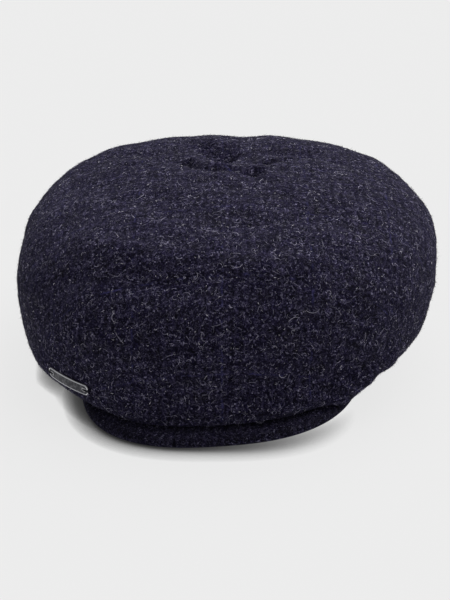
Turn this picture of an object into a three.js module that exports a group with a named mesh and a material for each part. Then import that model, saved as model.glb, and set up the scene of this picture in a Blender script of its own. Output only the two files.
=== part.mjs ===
import * as THREE from 'three';

// A soft tweed cap with a full, overhanging crown, a short peak and a small metal plate.
// Millimetres. The cap faces -Y, +X is the wearer's left, and it stands on Z = 0.

// Head opening, a plain ellipse
const headHalfWidth = 80;
const headHalfLength = 101;

// Crown: its reach from the middle of the head opening, its height and its cloth
const crownSide = 133;
const crownFront = 135;
const crownBack = 142;
const crownHeight = 122;
const planFullness = 2.35;
const topFullness = 2.6;
const clothThickness = 2.5;
const hemWidth = 7;
const edgeTurn = 1.5;
const pieceGap = 0.35;

// Peak: a stiff board covered in the same cloth
const peakShown = 10;
const peakBesideHead = 5.6;
const peakShift = -2.9;
const peakFrontDepth = 92;
const peakFullness = 2.8;
const peakThickness = 5;
const peakEdgeRound = 3;
const edgeRoundShare = 0.7;
const peakPitch = 12;
const peakLift = 13.9;
const peakTouchShare = -0.67;
const hornStart = 48;
const hornEnd = 68;
const hornShare = 0.15;
const hemDropRight = 26;
const hemDropLeft = 46;

// Metal plate sewn low on the crown's front right
const plateLength = 34;
const plateWidth = 6.8;
const plateThickness = 1.1;
const plateDirection = -42;
const plateStation = -0.19;
const plateSlant = -1;
const slotLength = 2.2;
const slotWidth = 1.5;
const slotInset = 1.9;
const plateCornerRound = 2.4;
const bluntEnd = 0.9;

// Mesh steps
const directionSteps = 60;
const undersideSteps = 7;
const shoulderSteps = 12;
const peakSteps = 24;
const peakEdgeTurns = [15, 40, 65, 90];
const reachSearchSteps = 40;
const nearestPointSteps = 8;
const slopeStep = 0.01;
const stationLimit = 0.95;

// Folds fade in between these shares of the way from the waist to the top.
const foldsFadeFrom = 0.5;
const foldsFadeTo = 0.9;

// The crown's form, a row for each direction in degrees from the front towards the wearer's left.
// reach is a share of the plan outline, waist is the share of the height at which the crown is
// widest, and shoulder and underside say how full the curve is above and below the waist.
const crownRows = [
  { direction: 0, reach: 1.0, waist: 0.3, shoulder: 2.7, underside: 2.6 },
  { direction: 45, reach: 0.975, waist: 0.42, shoulder: 2.7, underside: 3.6 },
  { direction: 90, reach: 1.01, waist: 0.57, shoulder: 2.7, underside: 2.1 },
  { direction: 135, reach: 1.01, waist: 0.5, shoulder: 2.9, underside: 2.0 },
  { direction: 180, reach: 1.0, waist: 0.46, shoulder: 2.7, underside: 2.2 },
  { direction: 225, reach: 1.0, waist: 0.44, shoulder: 2.9, underside: 2.2 },
  { direction: 270, reach: 0.995, waist: 0.44, shoulder: 2.2, underside: 2.3 },
  { direction: 315, reach: 0.99, waist: 0.34, shoulder: 2.4, underside: 3.7 },
];

// Hollows and raised folds in the top, each along a line in plan. Places and widths are shares of
// the crown's side reach, x towards the wearer's left and y towards the back, and depth is a share
// of the crown's height, below zero for a raised fold.
const foldRows = [
  { name: 'middle hollow', x1: -0.14, y1: 0.3, x2: 0.1, y2: 0.26, width: 0.2, depth: 0.055 },
  { name: 'left crease', x1: -0.46, y1: 0.32, x2: -0.05, y2: 0.1, width: 0.08, depth: 0.022 },
  { name: 'right crease', x1: 0.1, y1: 0.04, x2: 0.44, y2: 0.34, width: 0.08, depth: 0.022 },
  { name: 'left front ridge', x1: -0.5, y1: 0.16, x2: -0.05, y2: -0.08, width: 0.13, depth: -0.014 },
  { name: 'right front ridge', x1: 0.05, y1: -0.1, x2: 0.45, y2: 0.14, width: 0.13, depth: -0.014 },
];

const toRadians = (degrees) => (degrees * Math.PI) / 180;
const clamp = (value, low, high) => Math.min(Math.max(value, low), high);

function smoothStep(share) {
  const s = clamp(share, 0, 1);
  return s * s * (3 - 2 * s);
}

// Directions run from -180 to 180, so that the front half has no break in it.
function fromFront(direction) {
  return ((((direction + 180) % 360) + 360) % 360) - 180;
}

// The larger of two lengths, with their crossing rounded over a given length.
function roundedMax(a, b, rounding) {
  return (a + b + Math.hypot(a - b, rounding)) / 2;
}

// A Catmull-Rom curve through one column of the crown's table, which closes on itself.
function crownValue(column, direction) {
  const spacing = 360 / crownRows.length;
  const place = (fromFront(direction) + 360) / spacing;
  const first = Math.floor(place);
  const s = place - first;
  const value = (step) => crownRows[(first + step + crownRows.length) % crownRows.length][column];
  const [a, b, c, d] = [value(-1), value(0), value(1), value(2)];
  return b + (s * (c - a + s * (2 * a - 5 * b + 4 * c - d + s * (3 * b - a - 3 * c + d)))) / 2;
}

// Reach of a superellipse, centred on the head opening, in a direction.
function planReach(direction, side, front, back, fullness) {
  const turn = toRadians(fromFront(direction));
  const length = Math.cos(turn) > 0 ? front : back;
  const sideways = Math.abs(Math.sin(turn)) / side;
  const lengthways = Math.abs(Math.cos(turn)) / length;
  return (sideways ** fullness + lengthways ** fullness) ** (-1 / fullness);
}

function headReach(direction) {
  return planReach(direction, headHalfWidth, headHalfLength, headHalfLength, 2);
}

function inPlan(direction, reach, height) {
  const turn = toRadians(direction);
  return new THREE.Vector3(reach * Math.sin(turn), -reach * Math.cos(turn), height);
}

// Peak outline: a superellipse in front, a little off to the wearer's right, straight back from its
// widest line, and drawn in to the head opening at the horns. The search finds where the ray in a
// direction leaves that outline.
const peakTip = crownFront + peakShown;
const peakHalfWidth = headHalfWidth + peakBesideHead;

function insidePeak(direction, reach) {
  const place = inPlan(direction, reach, 0);
  const forward = Math.max(-place.y - (peakTip - peakFrontDepth), 0) / peakFrontDepth;
  const sideways = Math.abs(place.x - peakShift) / peakHalfWidth;
  return sideways ** peakFullness + forward ** peakFullness < 1;
}

function peakReach(direction) {
  const turned = clamp(fromFront(direction), -90, 90);
  let low = 0;
  let high = 2 * peakTip;
  for (let step = 0; step < reachSearchSteps; step += 1) {
    const middle = (low + high) / 2;
    if (insidePeak(turned, middle)) low = middle;
    else high = middle;
  }
  const head = headReach(turned);
  const intoHorn = clamp((Math.abs(turned) - hornStart) / (hornEnd - hornStart), 0, 1);
  return head + (low - head) * (1 - (1 - hornShare) * intoHorn ** 2);
}

// The peak slopes up from its edge to the head opening, and it is bent about a line near its
// right-hand front corner, where it touches the surface under the cap.
function peakUnderside(direction, reach) {
  const touch = peakTouchShare * peakHalfWidth;
  const across = (inPlan(direction, reach, 0).x - touch) / (peakHalfWidth - touch);
  const inward = Math.max(peakReach(direction) - reach, 0);
  return peakLift * across * across + inward * Math.tan(toRadians(peakPitch));
}

// What the crown's hem lies on: the top of the peak in front, then down to the surface.
function hemHeight(direction, reach) {
  const turned = fromFront(direction);
  const drop = turned > 0 ? hemDropLeft : hemDropRight;
  const onPeak = 1 - smoothStep((Math.abs(turned) - hornEnd) / drop);
  return onPeak * (peakUnderside(direction, reach) + peakThickness + pieceGap);
}

function hemReach(direction) {
  const setBack = peakShown + clothThickness + edgeTurn + hemWidth;
  return roundedMax(headReach(direction), peakReach(direction) - setBack, edgeTurn);
}

function foldDepth(x, y) {
  let depth = 0;
  for (const fold of foldRows) {
    const start = new THREE.Vector2(fold.x1, fold.y1).multiplyScalar(crownSide);
    const along = new THREE.Vector2(fold.x2, fold.y2).multiplyScalar(crownSide).sub(start);
    const place = new THREE.Vector2(x, y).sub(start);
    const share = clamp(place.dot(along) / along.lengthSq(), 0, 1);
    const away = place.distanceTo(along.multiplyScalar(share)) / (fold.width * crownSide);
    depth += fold.depth * crownHeight * Math.exp(-away * away);
  }
  return depth;
}

// A point of the crown. station is -1 where the underside meets the hem, 0 at the waist and 1 at
// the middle of the top. inset is 0 on the outside of the cloth and its thickness on the inside.
function crownPoint(direction, station, inset) {
  const plan = planReach(direction, crownSide, crownFront, crownBack, planFullness);
  const reach = plan * crownValue('reach', direction) - inset;
  const waist = crownHeight * crownValue('waist', direction);
  if (station < 0) {
    const fullness = crownValue('underside', direction);
    const foot = hemReach(direction) + hemWidth;
    const footHeight = hemHeight(direction, foot) + inset;
    const turn = (-station * Math.PI) / 2;
    const out = Math.cos(turn) ** (2 / fullness);
    const down = Math.sin(turn) ** (2 / fullness);
    return inPlan(direction, foot + (reach - foot) * out, waist - (waist - footHeight) * down);
  }
  const turn = (station * Math.PI) / 2;
  const out = Math.max(Math.cos(turn), 0) ** (2 / crownValue('shoulder', direction));
  const up = Math.sin(turn) ** (2 / topFullness);
  const point = inPlan(direction, reach * out, waist + (crownHeight - inset - waist) * up);
  const fade = smoothStep((up - foldsFadeFrom) / (foldsFadeTo - foldsFadeFrom));
  point.z -= foldDepth(point.x, point.y) * fade;
  return point;
}

// One closed solid between two grids of points. Columns join up when the sheet is round, and a
// cell that keep refuses is left open, with walls round it.
function sheetSolid(upper, lower, round = false, keep = () => true) {
  const positions = [];
  const triangles = [];
  const known = new Map();
  const index = (point) => {
    const key = point.toArray().map((value) => value.toFixed(4)).join(' ');
    if (!known.has(key)) {
      known.set(key, positions.length / 3);
      positions.push(...point.toArray());
    }
    return known.get(key);
  };
  const quad = (...points) => {
    const [a, b, c, d] = points.map(index);
    for (const corners of [[a, b, c], [a, c, d]]) {
      if (new Set(corners).size === 3) triangles.push(corners);
    }
  };
  const rows = upper.length - 1;
  const columns = round ? upper[0].length : upper[0].length - 1;
  const next = (column) => (column + 1) % upper[0].length;
  const kept = (row, column) => {
    if (row < 0 || row >= rows) return false;
    if (!round && (column < 0 || column >= columns)) return false;
    return keep(row, (column + columns) % columns);
  };
  for (let i = 0; i < rows; i += 1) {
    for (let j = 0; j < columns; j += 1) {
      if (!kept(i, j)) continue;
      const k = next(j);
      quad(upper[i][j], upper[i][k], upper[i + 1][k], upper[i + 1][j]);
      quad(lower[i][j], lower[i + 1][j], lower[i + 1][k], lower[i][k]);
      if (!kept(i - 1, j)) quad(upper[i][k], upper[i][j], lower[i][j], lower[i][k]);
      if (!kept(i + 1, j)) quad(upper[i + 1][j], upper[i + 1][k], lower[i + 1][k], lower[i + 1][j]);
      if (!kept(i, j - 1)) quad(upper[i][j], upper[i + 1][j], lower[i + 1][j], lower[i][j]);
      if (!kept(i, j + 1)) quad(upper[i + 1][k], upper[i][k], lower[i][k], lower[i + 1][k]);
    }
  }
  const corner = (vertex) => new THREE.Vector3().fromArray(positions, vertex * 3);
  const signedVolume = triangles.reduce((sum, [a, b, c]) => {
    return sum + corner(a).dot(corner(b).cross(corner(c)));
  }, 0);
  if (signedVolume < 0) triangles.forEach((corners) => corners.reverse());
  const geometry = new THREE.BufferGeometry();
  geometry.setAttribute('position', new THREE.Float32BufferAttribute(positions, 3));
  geometry.setIndex(triangles.flat());
  geometry.computeVertexNormals();
  return geometry;
}

const steps = (count, from, to) => {
  return Array.from({ length: count + 1 }, (_, step) => from + ((to - from) * step) / count);
};

function crownGeometry() {
  const directions = steps(directionSteps, 0, 360).slice(0, -1);
  const stations = [...steps(undersideSteps, -1, 0), ...steps(shoulderSteps, 0, 1).slice(1)];
  const side = (inset) => [
    directions.map((direction) => {
      const reach = hemReach(direction);
      return inPlan(direction, reach, hemHeight(direction, reach) + inset);
    }),
    ...stations.map((station) => {
      return directions.map((direction) => crownPoint(direction, station, inset));
    }),
  ];
  return sheetSolid(side(0), side(clothThickness), true);
}

// The peak's rows run from its rounded outer edge to the head opening. The rounding is never more
// than the peak has room for at its horns.
function peakGeometry() {
  const directions = steps(peakSteps, -hornEnd, hornEnd);
  const edgeRound = (direction) => {
    return Math.min(peakEdgeRound, edgeRoundShare * (peakReach(direction) - headReach(direction)));
  };
  const sheet = (side) => [
    ...peakEdgeTurns.map(toRadians).map((turn) => directions.map((direction) => {
      const reach = peakReach(direction) - edgeRound(direction) * (1 - Math.cos(turn));
      const half = (side * peakThickness * Math.sin(turn)) / 2;
      return inPlan(direction, reach, peakUnderside(direction, reach) + peakThickness / 2 + half);
    })),
    ...[0.5, 1].map((share) => directions.map((direction) => {
      const edge = peakReach(direction) - edgeRound(direction);
      const reach = edge + (headReach(direction) - edge) * share;
      const height = peakUnderside(direction, reach) + (side > 0 ? peakThickness : 0);
      return inPlan(direction, reach, height);
    })),
  ];
  return sheetSolid(sheet(1), sheet(-1));
}

// Slopes of the crown's outside at a place on it, by small steps each way.
function crownSlopes(direction, station) {
  const slope = (turned, raised) => crownPoint(direction + turned, station + raised, 0)
    .sub(crownPoint(direction - turned, station - raised, 0))
    .divideScalar(2 * slopeStep);
  const round = slope(slopeStep, 0);
  const upward = slope(0, slopeStep);
  return { round, upward, outward: round.clone().cross(upward).normalize() };
}

// The place on the crown's outside nearest to a point, found from a place close by.
function nearestOnCrown(target, direction, station) {
  for (let step = 0; step < nearestPointSteps; step += 1) {
    const { round, upward } = crownSlopes(direction, station);
    const left = target.clone().sub(crownPoint(direction, station, 0));
    const [rr, ru, uu] = [round.lengthSq(), round.dot(upward), upward.lengthSq()];
    const [lr, lu] = [left.dot(round), left.dot(upward)];
    const area = rr * uu - ru * ru;
    direction += (lr * uu - lu * ru) / area;
    station = clamp(station + (lu * rr - lr * ru) / area, -stationLimit, stationLimit);
  }
  return { direction, station };
}

// The plate is bent to the crown's side and lies against it, with a slot for thread at each end.
function plateGeometry() {
  const middle = crownPoint(plateDirection, plateStation, 0);
  const { round, outward } = crownSlopes(plateDirection, plateStation);
  const along = round.normalize().applyAxisAngle(outward, toRadians(plateSlant));
  const across = outward.clone().cross(along);
  const half = plateLength / 2;
  const slotOuter = half - slotInset;
  const slotInner = slotOuter - slotLength;
  const places = [half, half - plateCornerRound / 4, slotOuter, slotInner, slotInner / 2];
  const alongPlaces = [...places.map((place) => -place), 0, ...places.reverse()];
  const slotColumns = [2, 7];
  const slotRow = 1;
  const acrossPlaces = [-1, -slotWidth / plateWidth, slotWidth / plateWidth, 1];
  const widthShare = (place) => {
    const into = (Math.abs(place) - (half - plateCornerRound)) / plateCornerRound;
    const round = 1 - Math.sqrt(1 - clamp(into, 0, bluntEnd) ** 2);
    return 1 - (round * plateCornerRound) / (plateWidth / 2);
  };
  const sheet = (standOff) => acrossPlaces.map((share) => alongPlaces.map((place) => {
    const width = Math.abs(share) === 1 ? widthShare(place) : 1;
    const flat = middle.clone()
      .addScaledVector(along, place)
      .addScaledVector(across, (share * width * plateWidth) / 2);
    const near = nearestOnCrown(flat, plateDirection, plateStation);
    const lift = crownSlopes(near.direction, near.station).outward.multiplyScalar(standOff);
    return crownPoint(near.direction, near.station, 0).add(lift);
  }));
  const keep = (row, column) => row !== slotRow || !slotColumns.includes(column);
  return sheetSolid(sheet(pieceGap + plateThickness), sheet(pieceGap), false, keep);
}

const tweed = new THREE.MeshStandardMaterial({ color: 0x1b1b2c, roughness: 0.95, metalness: 0 });
const pewter = new THREE.MeshStandardMaterial({ color: 0x6f7178, roughness: 0.42, metalness: 1 });

const pieces = [
  ['crown', crownGeometry(), tweed],
  ['peak', peakGeometry(), tweed],
  ['badge_plate', plateGeometry(), pewter],
];

const cap = new THREE.Group();
for (const [name, geometry, material] of pieces) {
  const mesh = new THREE.Mesh(geometry, material);
  mesh.name = name;
  cap.add(mesh);
}

// The origin is the middle of the whole cap's box, on the surface that it stands on.
const box = new THREE.Box3().setFromObject(cap);
const centre = box.getCenter(new THREE.Vector3());
cap.position.set(-centre.x, -centre.y, -box.min.z);

export default cap;
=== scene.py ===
import math

import bpy
import numpy as np
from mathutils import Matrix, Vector


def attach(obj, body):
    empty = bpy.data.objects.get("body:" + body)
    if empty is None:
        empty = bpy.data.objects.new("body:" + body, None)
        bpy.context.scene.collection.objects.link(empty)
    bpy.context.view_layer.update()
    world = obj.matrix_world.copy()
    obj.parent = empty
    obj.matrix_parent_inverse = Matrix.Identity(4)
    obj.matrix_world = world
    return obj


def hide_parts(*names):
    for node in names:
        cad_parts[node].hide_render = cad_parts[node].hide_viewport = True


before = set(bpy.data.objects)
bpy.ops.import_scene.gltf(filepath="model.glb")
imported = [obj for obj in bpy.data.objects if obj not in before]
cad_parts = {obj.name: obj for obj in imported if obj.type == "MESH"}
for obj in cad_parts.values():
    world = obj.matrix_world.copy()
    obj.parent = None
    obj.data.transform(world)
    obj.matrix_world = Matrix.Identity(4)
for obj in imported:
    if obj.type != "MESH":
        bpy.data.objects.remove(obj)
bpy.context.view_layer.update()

# A soft tweed cap with a full crown, a short peak and a small metal plate. Lengths are in
# millimetres from the middle of the head opening and go into the meshes in metres. Directions are
# degrees from the front, which is -y, towards +x.
millimetre = 0.001
headCentre = np.array([-0.9975, 1.4476, 0.0])
random = np.random.default_rng(11)

# Lengths that the frame has too
head = {"halfWidth": 80, "halfLength": 101}
crown = {
    "side": 133, "front": 135, "back": 142, "height": 122, "planFullness": 2.35,
    "topFullness": 2.6, "cloth": 2.5, "hem": 7, "edgeTurn": 1.5,
    "reach": [1.0, 0.975, 1.01, 1.01, 1.0, 1.0, 0.995, 0.99],
    "waist": [0.3, 0.42, 0.57, 0.5, 0.46, 0.44, 0.44, 0.34],
    "shoulder": [2.7, 2.7, 2.7, 2.9, 2.7, 2.9, 2.2, 2.4],
    "underside": [2.6, 3.6, 2.1, 2.0, 2.2, 2.2, 2.3, 3.7],
    "foldsFadeFrom": 0.5, "foldsFadeTo": 0.9,
    # plan lines in shares of the side: x1, y1, x2, y2, width, depth as a share of the height
    "folds": [
        (-0.14, 0.3, 0.1, 0.26, 0.2, 0.055),
        (-0.46, 0.32, -0.05, 0.1, 0.08, 0.022),
        (0.1, 0.04, 0.44, 0.34, 0.08, 0.022),
        (-0.5, 0.16, -0.05, -0.08, 0.13, -0.014),
        (0.05, -0.1, 0.45, 0.14, 0.13, -0.014),
    ],
}
peak = {
    "shown": 10, "besideHead": 5.6, "shift": -2.9, "frontDepth": 92, "fullness": 2.8,
    "thickness": 5, "edgeRound": 3, "edgeRoundShare": 0.7, "pitch": 12, "lift": 13.9,
    "touchShare": -0.67, "hornStart": 48, "hornEnd": 68, "hornShare": 0.15, "dropRight": 26,
    "dropLeft": 46, "gap": 0.35, "halvings": 40,
}
plate = {
    "length": 34, "width": 6.8, "thickness": 1.1, "direction": -42, "station": -0.19, "slant": -1,
    "slotLength": 2.2, "slotWidth": 1.5, "slotInset": 1.9, "cornerRound": 2.4, "gap": 0.35,
}


def smoothStep(share):
    # 3s² - 2s³, held at 0 and 1 outside
    s = np.clip(share, 0, 1)
    return s * s * (3 - 2 * s)


def fromFront(direction):
    # the same direction, brought between -180 and 180 degrees
    return np.mod(np.asarray(direction, float) + 180, 360) - 180


def crownValue(column, direction):
    # Catmull-Rom curve through eight values 45 degrees apart, closed on itself
    values = np.array(crown[column], float)
    place = np.mod(direction, 360) / 45
    first = np.floor(place).astype(int)
    s = place - first
    a, b, c, d = (values[(first + step) % 8] for step in (-1, 0, 1, 2))
    return b + s * (c - a + s * (2 * a - 5 * b + 4 * c - d + s * (3 * b - a - 3 * c + d))) / 2


def planReach(direction, side, front, back, fullness):
    # superellipse: (|sin|/side)^n + (|cos|/length)^n, to the power -1/n
    turn = np.radians(fromFront(direction))
    length = np.where(np.cos(turn) > 0, front, back)
    across, along = np.abs(np.sin(turn)) / side, np.abs(np.cos(turn)) / length
    return (across ** fullness + along ** fullness) ** (-1 / fullness)


def headReach(direction):
    # the head opening's ellipse, as a distance from its middle
    return planReach(direction, head["halfWidth"], head["halfLength"], head["halfLength"], 2)


def inPlan(direction, reach, height):
    # x is reach times the sine, y is less reach times the cosine, z is the height
    turn = np.radians(direction)
    return np.stack([reach * np.sin(turn), -reach * np.cos(turn), height + 0 * reach], -1)


def peakReach(direction):
    # halving search for the peak's outline along each ray, drawn in to the head at the horns
    turned = np.clip(fromFront(direction), -90, 90)
    tip = crown["front"] + peak["shown"]
    low, high = np.zeros_like(turned), np.full_like(turned, 2.0 * tip)
    for halving in range(peak["halvings"]):
        middle = (low + high) / 2
        x, y = np.moveaxis(inPlan(turned, middle, 0), -1, 0)[:2]
        forward = np.maximum(-y - (tip - peak["frontDepth"]), 0) / peak["frontDepth"]
        wide = np.abs(x - peak["shift"]) / (head["halfWidth"] + peak["besideHead"])
        inside = wide ** peak["fullness"] + forward ** peak["fullness"] < 1
        low, high = np.where(inside, middle, low), np.where(inside, high, middle)
    atHead = headReach(turned)
    past = np.abs(turned) - peak["hornStart"]
    intoHorn = np.clip(past / (peak["hornEnd"] - peak["hornStart"]), 0, 1)
    return atHead + (low - atHead) * (1 - (1 - peak["hornShare"]) * intoHorn ** 2)


def peakUnderside(direction, reach):
    # a parabola across the peak, plus a straight slope up from its edge
    halfWidth = head["halfWidth"] + peak["besideHead"]
    touch = peak["touchShare"] * halfWidth
    across = (reach * np.sin(np.radians(direction)) - touch) / (halfWidth - touch)
    inward = np.maximum(peakReach(direction) - reach, 0)
    return peak["lift"] * across ** 2 + inward * math.tan(math.radians(peak["pitch"]))


def hemHeight(direction, reach):
    # the top of the peak in front, fading to the floor behind the horns
    turned = fromFront(direction)
    drop = np.where(turned > 0, peak["dropLeft"], peak["dropRight"])
    onPeak = 1 - smoothStep((np.abs(turned) - peak["hornEnd"]) / drop)
    return onPeak * (peakUnderside(direction, reach) + peak["thickness"] + peak["gap"])


def hemReach(direction):
    # the larger of the head opening and the peak set back, with their crossing rounded
    setBack = peak["shown"] + crown["cloth"] + crown["edgeTurn"] + crown["hem"]
    a, b = headReach(direction), peakReach(direction) - setBack
    return (a + b + np.hypot(a - b, crown["edgeTurn"])) / 2


def foldDepth(x, y):
    # sum of depth times e^-(distance from the fold's line over its width)²
    depth = 0 * x
    for x1, y1, x2, y2, width, share in crown["folds"]:
        start = np.array([x1, y1]) * crown["side"]
        along = np.array([x2, y2]) * crown["side"] - start
        place = np.stack([x, y], -1) - start
        t = np.clip(place @ along / (along @ along), 0, 1)
        away = np.linalg.norm(place - t[..., None] * along, axis=-1) / (width * crown["side"])
        depth = depth + share * crown["height"] * np.exp(-away ** 2)
    return depth


def crownPoint(direction, station, inset=0.0):
    # station -1 is the hem's outer line, 0 the waist, 1 the middle of the top; each part is a
    # quarter of a superellipse, and folds lower the top
    direction, station = np.broadcast_arrays(np.float64(direction), np.float64(station))
    plan = planReach(direction, crown["side"], crown["front"], crown["back"], crown["planFullness"])
    reach = plan * crownValue("reach", direction) - inset
    waist = crown["height"] * crownValue("waist", direction)
    foot = hemReach(direction) + crown["hem"]
    footHeight = hemHeight(direction, foot) + inset
    turn = np.abs(station) * math.pi / 2
    cosine, sine = np.maximum(np.cos(turn), 0), np.sin(turn)
    under = 2 / crownValue("underside", direction)
    below = inPlan(direction, foot + (reach - foot) * cosine ** under,
                   waist - (waist - footHeight) * sine ** under)
    up = sine ** (2 / crown["topFullness"])
    above = inPlan(direction, reach * cosine ** (2 / crownValue("shoulder", direction)),
                   waist + (crown["height"] - inset - waist) * up)
    risen = up - crown["foldsFadeFrom"]
    fade = smoothStep(risen / (crown["foldsFadeTo"] - crown["foldsFadeFrom"]))
    above[..., 2] -= foldDepth(above[..., 0], above[..., 1]) * fade
    return np.where((station < 0)[..., None], below, above)


def gridNormals(points, around):
    # cross product of the two grid differences, which wrap round when the grid does
    if around:
        padded = np.concatenate([points[:, -1:], points, points[:, :1]], 1)
        across = padded[:, 2:] - padded[:, :-2]
    else:
        across = np.gradient(points, axis=1)
    normals = np.cross(across, np.gradient(points, axis=0))
    return normals / np.maximum(np.linalg.norm(normals, axis=-1, keepdims=True), 1e-9)


def addMesh(name, vertices, faces, uv=None, smooth=True):
    # vertices in millimetres from the head opening; faces is a list of arrays of corner numbers
    mesh = bpy.data.meshes.new(name)
    corners = np.concatenate([f.ravel() for f in faces]).astype(np.int32)
    sizes = np.concatenate([np.full(len(f), f.shape[1]) for f in faces])
    mesh.vertices.add(len(vertices))
    places = (vertices + headCentre) * millimetre
    mesh.vertices.foreach_set("co", places.astype(np.float32).ravel())
    mesh.loops.add(len(corners))
    mesh.loops.foreach_set("vertex_index", corners)
    mesh.polygons.add(len(sizes))
    mesh.polygons.foreach_set("loop_start", (np.cumsum(sizes) - sizes).astype(np.int32))
    mesh.polygons.foreach_set("use_smooth", np.full(len(sizes), smooth))
    if uv is not None:
        layer = mesh.uv_layers.new(name="cloth")
        layer.uv.foreach_set("vector", (uv[corners] * millimetre).astype(np.float32).ravel())
    mesh.update(calc_edges=True)
    mesh.validate()
    piece = bpy.data.objects.new(name, mesh)
    bpy.context.scene.collection.objects.link(piece)
    return piece


def bandFaces(rows, columns, first=0, around=True):
    # quads between neighbouring rows of a grid whose vertices are numbered row by row
    i = np.arange(rows - 1)[:, None] * columns + first
    j = np.arange(columns if around else columns - 1)[None, :]
    k = (j + 1) % columns
    return np.stack([i + j, i + columns + j, i + columns + k, i + k], -1).reshape(-1, 4)


def poleFaces(pole, ringStart, columns, flip):
    # a fan from one vertex to a ring
    j = np.arange(columns)
    a, b = ringStart + j, ringStart + (j + 1) % columns
    return np.stack([np.full(columns, pole), b, a] if flip else [np.full(columns, pole), a, b], -1)


def finishPiece(piece, material, nodes=()):
    # material, body and the frame's nodes that the piece stands for
    piece.data.materials.append(material)
    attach(piece, "root")
    if nodes:
        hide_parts(*nodes)


def linear(hexColour):
    # sRGB hex to linear colour
    values = [int(hexColour[i:i + 2], 16) / 255 for i in (1, 3, 5)]
    return [v / 12.92 if v <= 0.04045 else ((v + 0.055) / 1.055) ** 2.4 for v in values] + [1.0]


def addNode(tree, kind, settings=None, links=None):
    # settings are properties or input sockets by name or number, links are inputs and where from
    node = tree.nodes.new(kind)
    for key, value in (settings or {}).items():
        if isinstance(key, str) and hasattr(node, key):
            setattr(node, key, value)
        else:
            node.inputs[key].default_value = value
    for key, (source, output) in (links or {}).items():
        tree.links.new(source.outputs[output], node.inputs[key])
    return node


def newMaterial(name):
    # a material with nothing but its shader and output
    material = bpy.data.materials.new(name)
    material.use_nodes = True
    tree = material.node_tree
    tree.nodes.clear()
    shader = addNode(tree, "ShaderNodeBsdfPrincipled")
    addNode(tree, "ShaderNodeOutputMaterial", links={"Surface": (shader, "BSDF")})
    return material, tree, shader


def perMetre(size):
    # how many times a pattern of that size in millimetres repeats in a metre
    return 1 / (size * millimetre)


tweedCloth = {
    "ink": "#05040e", "navy": "#0a081a", "slate": "#17142a", "grey": "#353147", "pale": "#76738a",
    "charcoal": "#0c0b0d", "blue": "#3c3a6c",
    "stops": [(0.27, "ink"), (0.5, "navy"), (0.68, "slate"), (0.81, "grey"), (0.92, "pale")],
    # sizes in millimetres, and how strongly each pattern counts
    "wobble": 2.2, "swing": 2.2, "speck": 0.72, "speckShare": 0.62, "fleck": 1.9,
    "fleckShare": 0.5, "fleckRoughness": 0.7, "patch": 12, "patchSeen": (0.48, 0.72),
    "patchShare": 0.5, "felt": 0.42, "feltSeen": (0.3, 0.7), "feltLevel": (0.3, 1.7),
    "rib": 5.2, "cell": 10.5, "weave": 0.18,
    # curled hairs: size and width of the contour, how far it twists and where it is broken
    "loops": [(1.7, 0.024), (2.9, 0.014)], "loopTwist": 0.7, "loopBreak": 3.1,
    "loopSeen": (0.45, 0.6),
    "windowLine": 0.9, "windowBreak": 6, "windowSeen": (0.5, 0.68), "windowShare": 0.62,
    # relief
    "lump": 4.6, "lumpHeight": 1.2, "yarnDip": -0.6, "loopRise": 0.5, "yarnHeight": 0.6,
    "yarnStrength": 0.8,
    "roughness": 0.95, "shine": 0.06, "sheen": 0.05, "sheenRoughness": 0.4, "sheenTint": "#a9a7dc",
}


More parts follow.
